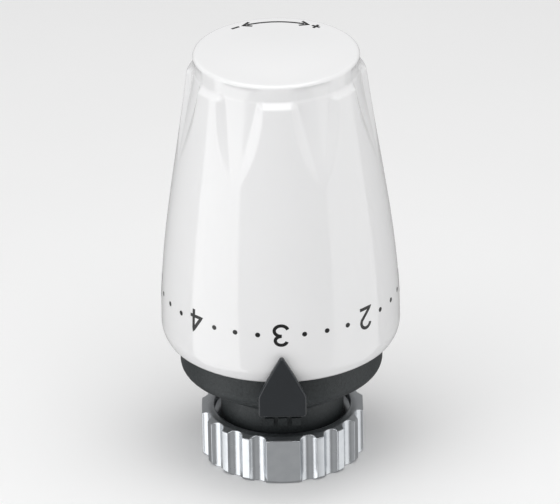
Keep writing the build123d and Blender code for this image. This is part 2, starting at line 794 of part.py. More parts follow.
spring_length = seat_disc_z - spring_low_z
with BuildPart() as overtravel_spring:
    with BuildLine() as spring_path:
        Helix(
            pitch=spring_length / spring_turns,
            height=spring_length,
            radius=spring_mean_r,
            center=(0, 0, spring_low_z),
        )
    wire_plane = Plane(origin=spring_path.line @ 0, x_dir=(1, 0, 0), z_dir=spring_path.line % 0)
    with BuildSketch(wire_plane):
        Circle(spring_wire_r)
    sweep(path=spring_path.line, is_frenet=True)
    # Ground ends.
    with BuildSketch(Plane.XY.offset(spring_low_z)):
        Circle(cup_bore_r)
    extrude(amount=spring_length, mode=Mode.INTERSECT)
overtravel_spring.part.label = "overtravel_spring"
export_step(overtravel_spring.part, "parts/overtravel_spring.step")

# ---------------------------------------------------------------- tappet
with BuildPart() as tappet:
    with BuildSketch(Plane.XY.offset(tappet_face_z)):
        Circle(tappet_r)
    extrude(amount=tappet_head_z - tappet_face_z)
    chamfer(tappet.edges().group_by(Axis.Z)[0], length=small_bevel)
    with BuildSketch(Plane.XY.offset(tappet_head_z)):
        Circle(cup_bore_r - 2 * slide_gap)
    extrude(amount=tappet_head_thickness)
tappet.part.label = "tappet"
export_step(tappet.part, "parts/tappet.step")
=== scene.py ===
import json
from math import cos, degrees, hypot, pi, radians, sin, sqrt

import bpy
from mathutils import Matrix, Vector


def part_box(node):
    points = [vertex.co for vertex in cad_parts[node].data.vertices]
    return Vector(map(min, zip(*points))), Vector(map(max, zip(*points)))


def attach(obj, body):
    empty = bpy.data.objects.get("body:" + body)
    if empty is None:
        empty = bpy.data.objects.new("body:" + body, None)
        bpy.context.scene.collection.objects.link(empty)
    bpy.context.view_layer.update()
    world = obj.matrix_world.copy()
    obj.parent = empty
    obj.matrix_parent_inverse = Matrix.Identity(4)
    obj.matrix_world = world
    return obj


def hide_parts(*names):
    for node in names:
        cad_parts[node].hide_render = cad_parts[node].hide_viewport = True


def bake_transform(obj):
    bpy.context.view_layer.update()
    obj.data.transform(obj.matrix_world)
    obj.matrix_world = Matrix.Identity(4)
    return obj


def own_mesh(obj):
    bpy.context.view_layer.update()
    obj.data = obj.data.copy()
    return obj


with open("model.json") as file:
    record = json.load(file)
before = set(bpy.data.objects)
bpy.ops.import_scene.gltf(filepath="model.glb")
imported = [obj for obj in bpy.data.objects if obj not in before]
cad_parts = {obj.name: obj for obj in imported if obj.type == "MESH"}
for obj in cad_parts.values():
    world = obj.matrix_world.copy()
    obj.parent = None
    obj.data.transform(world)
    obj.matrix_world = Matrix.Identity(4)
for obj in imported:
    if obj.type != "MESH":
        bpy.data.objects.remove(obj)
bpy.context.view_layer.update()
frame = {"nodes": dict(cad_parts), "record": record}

# Lengths in this script are millimetres until mesh_piece() turns them to metres.
MM = 0.001


def node_box(name):
    """Lowest and highest corner of a CAD node, in millimetres."""
    low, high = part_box(name)
    return Vector(low) / MM, Vector(high) / MM


# ------------------------------------------------------------------------ small helpers
def smooth_min(a, b, blend):
    """The smaller of two lengths, with the corner between them rounded over that length."""
    share = max(blend - abs(a - b), 0) / blend
    return min(a, b) - share * share * blend / 4


def smooth_max(a, b, blend):
    return -smooth_min(-a, -b, blend)


def smooth_step(low, high, value):
    share = min(max((value - low) / (high - low), 0), 1)
    return share * share * (3 - 2 * share)


def spread(low, high, count):
    """Evenly spaced values from low to high, both included."""
    return [low + (high - low) * i / (count - 1) for i in range(count)]


def polar(radius, angle, height):
    """A point from its radius, its angle in degrees and its height."""
    return (radius * cos(radians(angle)), radius * sin(radians(angle)), height)


def mesh_piece(name, points, faces, material, smooth=True):
    """A mesh object from points in millimetres."""
    mesh = bpy.data.meshes.new(name)
    mesh.from_pydata([tuple(c * MM for c in p) for p in points], [], faces)
    mesh.validate()
    mesh.materials.append(material)
    mesh.polygons.foreach_set("use_smooth", [smooth] * len(mesh.polygons))
    mesh.update()
    piece = bpy.data.objects.new(name, mesh)
    bpy.context.scene.collection.objects.link(piece)
    return piece


def skin(name, rows, material, poles=None):
    """A closed skin over rings of points that all have the same count.

    With poles, the first and last ring close to a point each. Without, the last ring joins the first.
    """
    count = len(rows[0])
    points = [p for row in rows for p in row]
    bands = len(rows) if poles is None else len(rows) - 1
    faces = []
    for i in range(bands):
        a = i * count
        b = (i + 1) % len(rows) * count
        for j in range(count):
            k = (j + 1) % count
            faces.append((a + j, a + k, b + k, b + j))
    if poles is not None:
        first, last = poles
        points += [first, last]
        top = (len(rows) - 1) * count
        for j in range(count):
            k = (j + 1) % count
            faces.append((k, j, len(points) - 2))
            faces.append((top + j, top + k, len(points) - 1))
    return mesh_piece(name, points, faces, material)


def add(tree, kind, inputs=None, links=None, **settings):
    """Adds a node. inputs are socket values, links are socket: (node, output), settings are properties."""
    made = tree.nodes.new(kind)
    for key, value in settings.items():
        setattr(made, key, value)
    for key, value in (inputs or {}).items():
        made.inputs[key].default_value = value
    for key, (source, output) in (links or {}).items():
        tree.links.new(source.outputs[output], made.inputs[key])
    return made


def node_group(name, **sizes):
    """An empty Geometry Nodes tree with a mesh in and out and a named input for each size."""
    tree = bpy.data.node_groups.new(name, "GeometryNodeTree")
    tree.interface.new_socket("Mesh", in_out="INPUT", socket_type="NodeSocketGeometry")
    tree.interface.new_socket("Mesh", in_out="OUTPUT", socket_type="NodeSocketGeometry")
    tree.interface.new_socket("Surface", in_out="INPUT", socket_type="NodeSocketMaterial")
    for key, value in sizes.items():
        kind = "NodeSocketInt" if isinstance(value, int) else "NodeSocketFloat"
        tree.interface.new_socket(key.replace("_", " "), in_out="INPUT", socket_type=kind)
    return tree


def finish_tree(tree, source, last):
    """Ends a tree: instances made real, the material set, and the mesh handed out."""
    real = add(tree, "GeometryNodeRealizeInstances", None, {0: (last, 0)})
    painted = add(
        tree, "GeometryNodeSetMaterial", None, {"Geometry": (real, 0), "Material": (source, "Surface")},
    )
    add(tree, "NodeGroupOutput", None, {0: (painted, 0)})
    return tree


def grown(piece, tree, material, **sizes):
    """Runs a tree on a piece with its inputs set, and leaves the result as the piece's plain mesh."""
    modifier = piece.modifiers.new(tree.name, "NODES")
    modifier.node_group = tree
    values = {key.replace("_", " "): value for key, value in sizes.items()}
    values["Surface"] = material
    for socket in tree.interface.items_tree:
        if socket.in_out == "INPUT" and socket.name in values:
            modifier[socket.identifier] = values[socket.name]
    depsgraph = bpy.context.evaluated_depsgraph_get()
    mesh = bpy.data.meshes.new_from_object(piece.evaluated_get(depsgraph))
    piece.modifiers.remove(modifier)
    piece.data = mesh
    return piece


# ------------------------------------------------------------------------ materials
def linear(hex_colour):
    """An sRGB hex colour as linear RGBA."""
    channels = [int(hex_colour[i:i + 2], 16) / 255 for i in (1, 3, 5)]
    return tuple(c / 12.92 if c <= 0.04045 else ((c + 0.055) / 1.055) ** 2.4 for c in channels) + (1,)


def surface(
    name, light, dark, patch_mm, grain_mm, grain_depth_mm, rough, metallic=0.0, stretch=(1, 1, 1), **shader,
):
    """A moulded, turned or drawn surface.

    Its colour drifts between two shades over patches, its roughness drifts within a range, and a fine
    grain stands out of it as bump. stretch draws the grain out along an axis, as a tool does.
    """
    material = bpy.data.materials.new(name)
    material.use_nodes = True
    tree = material.node_tree
    bsdf = tree.nodes["Principled BSDF"]
    place = add(tree, "ShaderNodeTexCoord")
    drawn = add(tree, "ShaderNodeMapping", {"Scale": stretch}, {"Vector": (place, "Object")})
    patch = add(
        tree, "ShaderNodeTexNoise",
        {"Scale": 1 / (patch_mm * MM), "Detail": 3.0}, {"Vector": (place, "Object")},
    )
    colour = add(
        tree, "ShaderNodeMix", {6: linear(dark), 7: linear(light)}, {0: (patch, 0)}, data_type="RGBA",
    )
    grain = add(
        tree, "ShaderNodeTexNoise",
        {"Scale": 1 / (grain_mm * MM), "Detail": 2.0}, {"Vector": (drawn, 0)},
    )
    matt = add(tree, "ShaderNodeMapRange", {"To Min": rough[0], "To Max": rough[1]}, {"Value": (grain, 0)})
    bump = add(
        tree, "ShaderNodeBump",
        {"Distance": grain_depth_mm * MM, "Strength": 0.6}, {"Height": (grain, 0)},
    )
    tree.links.new(colour.outputs[2], bsdf.inputs["Base Color"])
    tree.links.new(matt.outputs[0], bsdf.inputs["Roughness"])
    tree.links.new(bump.outputs[0], bsdf.inputs["Normal"])
    bsdf.inputs["Metallic"].default_value = metallic
    for socket, value in shader.items():
        bsdf.inputs[socket.replace("_", " ")].default_value = value
    return material


# Polished-mould ABS: a hard clear gloss over near-white, with the faint ripple a moulding has.
gloss_abs = surface(
    "white_ABS_polished_mould", "#f4f4f4", "#efeff0", patch_mm=30, grain_mm=9, grain_depth_mm=0.004,
    rough=(0.07, 0.12), IOR=1.53,
)
# Pad-printed ink: black, a little duller than the plastic.
print_ink = surface(
    "black_pad_print_ink", "#141414", "#0c0c0c", patch_mm=2, grain_mm=0.3, grain_depth_mm=0.002,
    rough=(0.3, 0.45),
)
# Spark-eroded mould texture on nylon: a fine even grain that greys the black.
grained_nylon = surface(
    "black_nylon_spark_eroded", "#373d3f", "#191d1f", patch_mm=0.7, grain_mm=0.4, grain_depth_mm=0.1,
    rough=(0.45, 0.65), IOR=1.53,
)
# Satin ABS: smoother and bluer than the nylon beside it.
satin_abs = surface(
    "slate_ABS_satin_moulded", "#23282d", "#1c2024", patch_mm=4, grain_mm=0.35, grain_depth_mm=0.012,
    rough=(0.3, 0.42), IOR=1.53,
)
# Nickel plate over turned brass: bright grey, with the cutter's fine rings under the plating.
nickel_plate = surface(
    "nickel_plate_on_turned_brass", "#d3d6d9", "#bfc3c7", patch_mm=2.5, grain_mm=0.5, grain_depth_mm=0.01,
    rough=(0.24, 0.36), metallic=1.0, stretch=(0.25, 0.25, 2.0),
)
# Glass-filled nylon: matt and slightly cloudy, because the fibres lie near the skin.
glass_nylon = surface(
    "grey_glass_filled_nylon", "#5c5f60", "#4c4f50", patch_mm=3, grain_mm=0.4, grain_depth_mm=0.02,
    rough=(0.4, 0.6), IOR=1.53,
)
# Turned acetal: warm white and waxy, with faint rings from the tool.
acetal = surface(
    "natural_acetal_turned", "#e4e1d8", "#dad6cb", patch_mm=6, grain_mm=0.4, grain_depth_mm=0.01,
    rough=(0.25, 0.4), stretch=(0.3, 0.3, 2.0), IOR=1.48,
)
# Punched nylon sheet: as creamy as the acetal, but duller.
slip_nylon = surface(
    "natural_nylon_punched", "#e8e6dc", "#dcd9cd", patch_mm=4, grain_mm=0.5, grain_depth_mm=0.01,
    rough=(0.35, 0.5), IOR=1.53,
)
# Moulded red acetal: an even colour with a soft sheen.
red_acetal = surface(
    "red_acetal_moulded", "#b3261c", "#9c2018", patch_mm=3, grain_mm=0.5, grain_depth_mm=0.01,
    rough=(0.3, 0.42), IOR=1.48,
)
# Drawn spring wire: smooth grey steel, a little dark.
spring_steel = surface(
    "spring_steel_drawn", "#a9abad", "#96989b", patch_mm=3, grain_mm=0.3, grain_depth_mm=0.004,
    rough=(0.22, 0.36), metallic=1.0,
)
# Zinc plate: a lighter grey than the bare spring steel, in small patches.
zinc_steel = surface(
    "zinc_plated_steel", "#c2c4c4", "#aeb1b3", patch_mm=1.5, grain_mm=0.3, grain_depth_mm=0.004,
    rough=(0.25, 0.4), metallic=1.0,
)
# Deep-drawn brass: clear yellow, with faint streaks along the draw.
drawn_brass = surface(
    "brass_deep_drawn", "#d9b36a", "#c79f58", patch_mm=8, grain_mm=0.6, grain_depth_mm=0.006,
    rough=(0.2, 0.34), metallic=1.0, stretch=(1, 1, 0.15),
)
# Formed bronze: a warm orange-brown, fairly smooth.
bronze = surface(
    "bronze_hydroformed", "#c98f52", "#b57c44", patch_mm=4, grain_mm=0.5, grain_depth_mm=0.006,
    rough=(0.24, 0.38), metallic=1.0,
)
# Flowed tin solder: pale and slightly uneven.
solder = surface(
    "tin_solder_flowed", "#cfd0d1", "#bbbdbf", patch_mm=1.5, grain_mm=0.4, grain_depth_mm=0.01,
    rough=(0.3, 0.45), metallic=1.0,
)

slot_material = {
    "cap_white": gloss_abs,
    "socket_black": grained_nylon,
    "pointer_slate": satin_abs,
    "nut_nickel": nickel_plate,
    "sleeve_grey": glass_nylon,
    "carrier_white": acetal,
    "tappet_acetal": acetal,
    "slip_nylon": slip_nylon,
    "clip_red": red_acetal,
    "spring_steel": spring_steel,
    "screw_steel": zinc_steel,
    "can_brass": drawn_brass,
    "bellows_bronze": bronze,
    "seal_tin": solder,
}
for part in frame["record"]["subparts"]:
    slots = frame["nodes"][part["node"]].material_slots
    for material_slot in slots:
        material_slot.material = slot_material[part["material_slot"]]

# ------------------------------------------------------------------------ cap
cap_low, cap_high = node_box("control_cap")
cap_z = cap_low.z
crown_z = cap_high.z
widest_r = cap_high.x
cap_wall = 1.8
lip_arc_r = 6.08                 # the rounding from the skirt into the lower edge
widest_z = cap_z + 4.0
barrel_low_pull = 0.33           # how far each end of the outline's S keeps its direction
barrel_high_pull = 0.396
barrel_high_reach = 3.0
petal_top = (19.7, crown_z - 5.5)
ledge_run = (1.2, 1.1)           # the petals' top slopes in by 1.2 while it rises 1.1
core_r = 18.3
core_waist = (20.0, crown_z - 13.9)
core_foot = (23.86, crown_z - 26.9)
valley_length = 19.9             # from the petals' top down to the valleys' lower tip
crown_edge_r = 0.9
crown_flat_r = core_r - crown_edge_r
crown_rise = 0.5
crown_thickness = 2.4
petal_count = 7
petal_pitch = 360 / petal_count
petal_top_half = 9.2             # half-angle of a petal's face at its top, in degrees
petal_root_half = 14             # half-angle at the core there
flank_least = 3                  # a flank is never narrower than this angle
flank_corner = 0.16              # rounding at a flank's two edges, as a share of its width
flank_blend = 0.7
ledge_blend = 0.3
front = -90                      # the pointer's side, in degrees about the axis

# The skin's columns are even on the skirt and gather on the flanks further up.
even_up_to = crown_z - 34
gathered_from = crown_z - 24
face_columns = 0.25              # share of the columns on a petal's face
flank_columns = 0.8              # share of them up to the flank's foot


def circle_through(a, b, c):
    """Centre and radius of the circle through three points."""
    (ax, ay), (bx, by), (cx, cy) = a, b, c
    d = 2 * (ax * (by - cy) + bx * (cy - ay) + cx * (ay - by))
    x = ((ax**2 + ay**2) * (by - cy) + (bx**2 + by**2) * (cy - ay) + (cx**2 + cy**2) * (ay - by)) / d
    y = ((ax**2 + ay**2) * (cx - bx) + (bx**2 + by**2) * (ax - cx) + (cx**2 + cy**2) * (bx - ax)) / d
    return x, y, hypot(ax - x, ay - y)


waist_x, waist_y, waist_r = circle_through(core_foot, core_waist, (core_r, petal_top[1] + ledge_run[1]))


def core_radius(z):
    """The round core that shows at the bottom of the valleys and above the petals."""
    z = min(z, petal_top[1] + ledge_run[1])
    return waist_x - sqrt(waist_r**2 - (z - waist_y) ** 2)


def barrel_radius(z):
    """The cap's outline: an arc at the skirt, then one long S to the petals' top."""
    if z < widest_z:
        return widest_r - lip_arc_r + sqrt(lip_arc_r**2 - (widest_z - z) ** 2)
    rise = petal_top[1] - widest_z
    controls = [
        (widest_r, widest_z),
        (widest_r, widest_z + barrel_low_pull * rise),
        (petal_top[0] + barrel_high_reach, petal_top[1] - barrel_high_pull * rise),
        petal_top,
    ]
    low, high = 0.0, 1.2
    for _ in range(40):
        t = (low + high) / 2
        weights = ((1 - t) ** 3, 3 * t * (1 - t) ** 2, 3 * t**2 * (1 - t), t**3)
        if sum(w * c[1] for w, c in zip(weights, controls)) < z:
            low = t
        else:
            high = t
    return sum(w * c[0] for w, c in zip(weights, controls))


def valley_share(z):
    """How far down the valley a height is: 0 at the petals' top, 1 at the valley's tip."""
    return max(petal_top[1] - z, 0) / valley_length


def petal_edge(z):
    """Half-angle of a petal's face, in degrees: narrow at the top, spreading like a gothic arch."""
    return petal_top_half + (petal_pitch / 2 - petal_top_half) * valley_share(z) ** 2


def petal_foot(z):
    """Half-angle at which a petal's flank reaches the core."""
    return petal_root_half + (petal_pitch / 2 - petal_root_half) * valley_share(z)


def rounded_ramp(t, corner):
    """0 to 1 with both corners rounded."""
    if t < -corner:
        return 0.0
    if t < corner:
        return (t + corner) ** 2 / (4 * corner)
    if t < 1 - corner:
        return t
    if t < 1 + corner:
        return 1 - (1 + corner - t) ** 2 / (4 * corner)
    return 1.0


def cap_radius(angle, z):
    """Radius of the cap's outside at an angle from the nearest petal's middle."""
    ledge = petal_top[0] - (z - petal_top[1]) * ledge_run[0] / ledge_run[1]
    core = core_radius(z)
    petal = smooth_min(barrel_radius(z), ledge, ledge_blend)
    if z > petal_top[1] - 4:
        petal = smooth_max(petal, core, ledge_blend)
    flank_width = max(petal_foot(z) - petal_edge(z), flank_least)
    flank = (petal_edge(z) + flank_width - angle) / flank_width
    depth = smooth_max(petal - core, 0, flank_blend)
    return petal - depth * (1 - rounded_ramp(flank, flank_corner))


def petal_angle(share, z):
    """Angle from a petal's middle for a share of the way to the valley's middle.

    Over the petals' length most of the columns gather on the flank, where the surface turns.
    """
    half = petal_pitch / 2
    edge = min(petal_edge(z) - 1.5, half - 4)
    foot = min(petal_foot(z) + 1.5, half - 0.6)
    if share < face_columns:
        gathered = edge * share / face_columns
    elif share < flank_columns:
        gathered = edge + (foot - edge) * (share - face_columns) / (flank_columns - face_columns)
    else:
        gathered = foot + (half - foot) * (share - flank_columns) / (1 - flank_columns)
    blend = smooth_step(even_up_to, gathered_from, z)
    return blend * gathered + (1 - blend) * share * half


half_columns = 26
cap_columns = []                 # (petal number, side, share)
for petal in range(petal_count):
    cap_columns += [(petal, -1, i / half_columns) for i in range(half_columns, 0, -1)]
    cap_columns += [(petal, 1, i / half_columns) for i in range(half_columns)]


def cap_ring(z, radius=None):
    """One ring of the cap: its own outside at that height, or a plain circle."""
    ring = []
    for petal, side, share in cap_columns:
        angle = petal_angle(share, z)
        r = cap_radius(angle, z) if radius is None else radius
        ring.append(polar(r, front + petal * petal_pitch + side * angle, z))
    return ring


def crown_height(radius):
    """Height of the gently domed crown."""
    return crown_z - crown_rise + crown_rise * (1 - (radius / crown_flat_r) ** 2) ** 2


lip_r = 0.45
edge_r = barrel_radius(cap_z)
ledge_z = petal_top[1] + ledge_run[1]
edge_z = crown_z - crown_rise - crown_edge_r
ceiling_z = crown_z - crown_thickness

mouth_bevel = 0.2
ceiling_r = core_r - cap_wall
inner_rows = [(cap_z, edge_r - cap_wall + mouth_bevel)]
for z in spread(cap_z + mouth_bevel, ledge_z, 34):
    inner_rows.append((z, min(barrel_radius(z), core_radius(z)) - cap_wall))
# The corner under the crown is rounded in three steps, and the ceiling is flat inside it.
inner_rows += [(ceiling_z - 0.7, ceiling_r), (ceiling_z - 0.2, ceiling_r - 0.4)]
inner_rows += [(ceiling_z, ceiling_r - 1.0), (ceiling_z, 6.0)]

cap_rows = [cap_ring(z, r) for z, r in reversed(inner_rows)]
cap_rows.append(cap_ring(cap_z, edge_r - lip_r))
cap_rows += [
    cap_ring(cap_z + lip_r * (1 - cos(radians(a))), edge_r - lip_r + (lip_r + 0.1) * sin(radians(a)))
    for a in (25, 50, 75)
]
# The rings lie closest where the outline turns: along the flanks and over the ledge.
outer_heights = spread(cap_z + 0.5, widest_z, 12)
outer_heights += spread(widest_z, even_up_to, 36)[1:]
outer_heights += spread(even_up_to, petal_top[1] - 0.6, 62)[1:]
outer_heights += spread(petal_top[1] - 0.6, ledge_z + 0.4, 18)[1:]
outer_heights += spread(ledge_z + 0.4, edge_z, 3)[1:]
cap_rows += [cap_ring(z) for z in outer_heights]
for a in spread(0, 90, 10)[1:]:
    radius = core_r - crown_edge_r * (1 - cos(radians(a)))
    cap_rows.append(cap_ring(edge_z + crown_edge_r * sin(radians(a)), radius))
for radius in spread(crown_flat_r, 0, 12)[1:-1]:
    cap_rows.append(cap_ring(crown_height(radius), radius))

cap_shell = skin("cap_shell", cap_rows, gloss_abs, poles=((0, 0, ceiling_z), (0, 0, crown_z)))
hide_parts("control_cap")
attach(cap_shell, "cap")


def boss_tree():
    """Pillars on the points of a mesh, each with its foot at the point."""
    tree = node_group("cap_bosses", Boss_radius=1.0, Boss_height=1.0)
    source = add(tree, "NodeGroupInput")
    pillar = add(
        tree, "GeometryNodeMeshCylinder", {"Vertices": 32},
        {"Radius": (source, "Boss radius"), "Depth": (source, "Boss height")},
    )
    spots = add(
        tree, "GeometryNodeInstanceOnPoints", None,
        {"Points": (source, "Mesh"), "Instance": (pillar, "Mesh")},
    )
    return finish_tree(tree, source, spots)


# The screws of the drive ring bite into three bosses that stand on the cap's inside.
_, flange_high = node_box("drive_ring")
boss_height = 10.0
boss_r = 2.7
boss_circle = flange_high.x - 2.3
boss_points = [polar(boss_circle, 30 + 120 * i, flange_high.z + boss_height / 2) for i in range(3)]
cap_bosses = mesh_piece("cap_bosses", boss_points, [], gloss_abs)
grown(cap_bosses, boss_tree(), gloss_abs, Boss_radius=boss_r * MM, Boss_height=boss_height * MM)

# The crown's boss turns on the sensor's thrust pad.
ring_r = 8.0
ring_bore_r = 6.2
ring_bevel = 0.2
ring_root_z = ceiling_z + 0.1
ring_foot_z = ceiling_z - 4.3
ring_outline = [
    (ring_r, ring_root_z), (ring_r, ring_foot_z + ring_bevel), (ring_r - ring_bevel, ring_foot_z),
    (ring_bore_r + ring_bevel, ring_foot_z), (ring_bore_r, ring_foot_z + ring_bevel),
    (ring_bore_r, ring_root_z),
]
crown_ring = skin(
    "cap_crown_boss",
    [[polar(r, a, z) for a in range(0, 360, 5)] for r, z in ring_outline],
    gloss_abs,
)
for piece in (cap_bosses, crown_ring):
    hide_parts("control_cap")
    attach(piece, "cap")

# ------------------------------------------------------------------------ print on the cap
stroke_w = 0.74
print_lift = 0.03
digit_height = 5.35
dial_z = cap_z + 12.3
dial_step = 11.25                # degrees from dot to dot, four to a number
ink_pieces = []


def arc(cx, cy, rx, ry, start, end, count=22):
    """Points along an elliptical arc, angles in degrees."""
    return [(cx + rx * cos(radians(a)), cy + ry * sin(radians(a))) for a in spread(start, end, count)]


half_w = stroke_w / 2
top_y = digit_height - half_w
glyphs = {
    "1": [[(-0.95, 4.0), (0.15, top_y), (0.15, 0)]],
    "2": [arc(0, 3.62, 1.37, top_y - 3.62, 168, -32) + [(-1.45, half_w), (1.6, half_w)]],
    "3": [arc(0, 3.93, 1.3, top_y - 3.93, 165, -85), arc(0, 1.6, 1.5, 1.6 - half_w, 95, -165)],
    "4": [[(0.75, 0), (0.75, top_y), (-1.5, 1.6), (1.75, 1.6)]],
    "5": [[(1.4, top_y), (-0.95, top_y), (-1.2, 2.75)] + arc(0, 1.85, 1.5, 1.85 - half_w, 135, -160)],
    "frost": [],
}
arm_reach = 2.5
branch_root = 1.3
branch_length = 0.9
for arm in range(3):
    turn = radians(60 * arm)
    glyphs["frost"].append([
        (-arm_reach * sin(turn), digit_height / 2 - arm_reach * cos(turn)),
        (arm_reach * sin(turn), digit_height / 2 + arm_reach * cos(turn)),
    ])
for arm in range(6):
    for side in (-1, 1):
        turn = radians(60 * arm)
        branch = radians(60 * arm + 45 * side)
        x, y = branch_root * sin(turn), digit_height / 2 + branch_root * cos(turn)
        glyphs["frost"].append([(x, y), (x + branch_length * sin(branch), y + branch_length * cos(branch))])


def refine(line, longest=0.4):
    """The same line with its long runs divided, so that it can bend with a surface."""
    out = [line[0]]
    for a, b in zip(line, line[1:]):
        pieces = max(1, int(hypot(b[0] - a[0], b[1] - a[1]) / longest))
        for i in range(1, pieces + 1):
            share = i / pieces
            out.append((a[0] + (b[0] - a[0]) * share, a[1] + (b[1] - a[1]) * share))
    return out


def ribbon(lines, place, width=stroke_w):
    """Thin flat strokes along lines, laid on a surface by place(x, y, lift)."""
    points = []
    faces = []
    for line in lines:
        line = refine(line)
        start = len(points)
        for i, (x, y) in enumerate(line):
            before = line[max(i - 1, 0)]
            after = line[min(i + 1, len(line) - 1)]
            dx, dy = after[0] - before[0], after[1] - before[1]
            length = hypot(dx, dy)
            # A corner's stroke is widened so that it keeps its width on both sides.
            ax, ay = x - before[0], y - before[1]
            corner = 1.0
            if 0 < i < len(line) - 1:
                corner = max(abs(ax * dx + ay * dy) / (hypot(ax, ay) * length), 0.6)
            nx, ny = -dy / length * width / 2 / corner, dx / length * width / 2 / corner
            for lift in (print_lift, -print_lift):
                points.append(place(x + nx, y + ny, lift))
                points.append(place(x - nx, y - ny, lift))
        last = len(line) - 1
        for i in range(last):
            a = start + 4 * i
            b = a + 4
            faces += [(a, a + 1, b + 1, b), (a + 2, b + 2, b + 3, a + 3)]
            faces += [(a, b, b + 2, a + 2), (a + 1, a + 3, b + 3, b + 1)]
        end = start + 4 * last
        faces += [(start, start + 2, start + 3, start + 1), (end, end + 1, end + 3, end + 2)]
    return points, faces


def on_dial(angle):
    """Lays a glyph on the skirt, upside down, so that it reads from above the head."""
    def place(x, y, lift):
        z = dial_z + digit_height / 2 - y
        radius = barrel_radius(z) + lift
        return polar(radius, angle - degrees(x / radius), z)
    return place


# Steps round the dial from the pointer, which stands at 3.
numbers = {"5": -8, "4": -4, "3": 0, "2": 4, "1": 8, "frost": 14}
for glyph, steps in numbers.items():
    points, faces = ribbon(glyphs[glyph], on_dial(front + steps * dial_step))
    ink_pieces.append(mesh_piece("dial_mark_" + glyph, points, faces, print_ink, smooth=False))

# The crown's turning arrow: two heads, with a minus at one end and a plus at the other.
back = front + 180
sweep_deg = 24
head_deg = 3.5                   # the arrow's tip past the end of its line
barb_deg = 3                     # its barbs back from there
barb = 1.15
sign_deg = 11                    # the minus and plus past the end of the line
sign = 1.0                       # half their length
arrow_r = 15.4
arrow_w = 0.6
arc_line = [polar(arrow_r, back + a, 0)[:2] for a in spread(-sweep_deg, sweep_deg, 40)]


def flat_crown(x, y, lift):
    return (x, y, crown_height(hypot(x, y)) + lift)


turn_mark = [arc_line]
for side in (-1, 1):
    barbs = [polar(arrow_r + off, back + side * (sweep_deg - barb_deg), 0)[:2] for off in (-barb, barb)]
    tip = polar(arrow_r, back + side * (sweep_deg + head_deg), 0)[:2]
    turn_mark.append([barbs[0], tip, barbs[1]])
    sign_angle = back + side * (sweep_deg + sign_deg)
    x, y, _ = polar(arrow_r, sign_angle, 0)
    # The minus is one bar. The plus has a second one across it.
    for bar_angle in [sign_angle + 90] + ([sign_angle] if side < 0 else []):
        dx, dy, _ = polar(sign, bar_angle, 0)
        turn_mark.append([(x - dx, y - dy), (x + dx, y + dy)])
points, faces = ribbon(turn_mark, flat_crown, arrow_w)
ink_pieces.append(mesh_piece("crown_turn_mark", points, faces, print_ink, smooth=False))


def dial_dot_tree():
    """Discs on the points of a mesh, each turned to face away from the axis."""
    tree = node_group("dial_dots", Dot_radius=0.5, Dot_height=0.1)
    source = add(tree, "NodeGroupInput")
    disc = add(
        tree, "GeometryNodeMeshCylinder", {"Vertices": 20},
        {"Radius": (source, "Dot radius"), "Depth": (source, "Dot height")},
    )
    where = add(tree, "GeometryNodeInputPosition")
    outward = add(
        tree, "ShaderNodeVectorMath", {1: (1, 1, 0)}, {0: (where, 0)}, operation="MULTIPLY",
    )
    turn = add(tree, "FunctionNodeAlignEulerToVector", None, {"Vector": (outward, 0)}, axis="Z")
    spots = add(
        tree, "GeometryNodeInstanceOnPoints", None,
        {"Points": (source, "Mesh"), "Instance": (disc, "Mesh"), "Rotation": (turn, 0)},
    )
    return finish_tree(tree, source, spots)


dot_r = 0.56
first_step, last_step = numbers["5"], numbers["frost"]
dot_steps = [s for s in range(first_step, last_step + 1) if s not in numbers.values()]
dot_points = [polar(barrel_radius(dial_z), front + s * dial_step, dial_z) for s in dot_steps]
dial_dots = mesh_piece("dial_dots", dot_points, [], print_ink)
grown(dial_dots, dial_dot_tree(), print_ink, Dot_radius=dot_r * MM, Dot_height=2 * print_lift * MM)
ink_pieces.append(dial_dots)

for piece in ink_pieces:
    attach(piece, "cap")

# ------------------------------------------------------------------------ pointer
pointer_low, pointer_high = node_box("setting_pointer")
_, bowl_high = node_box("base_socket")
pointer_half = pointer_high.x
pointer_front = pointer_low.y
blade_thickness = 1.2
pointer_back = pointer_front + blade_thickness
shoulder_z = pointer_high.z - 9.4
tip_arc_r = 0.8
side_bow = 0.12                  # how far the long sides stand out from straight lines
foot_half = 3.5
foot_top = cap_z - 3.5


def pointer_outline(inset):
    """The pointer's face: square shoulders and two nearly straight sides to a rounded tip."""
    tip_z = pointer_high.z - inset
    half = pointer_half - inset
    low = pointer_low.z + inset
    tip_half = 0.62 * (tip_arc_r - 0.35 * inset)
    corner = max(tip_arc_r - inset, 0.2)
    side = []
    for a in spread(0, 90, 6):
        side.append((half - corner * (1 - sin(radians(a))), low + corner * (1 - cos(radians(a)))))
    side += [(half, z) for z in spread(low + corner, shoulder_z - 0.4, 4)[1:]]
    side += [(half - 0.04, shoulder_z - 0.1), (half - 0.14, shoulder_z + 0.2)]
    for t in spread(0.06, 1, 12):
        bow = side_bow * 4 * t * (1 - t)
        side.append((half + (tip_half - half) * t + bow, shoulder_z + (tip_z - 0.3 - shoulder_z) * t))
    side += [(tip_half * 0.78, tip_z - 0.13), (tip_half * 0.42, tip_z - 0.03)]
    return side + [(0, tip_z)] + [(-x, z) for x, z in reversed(side)]


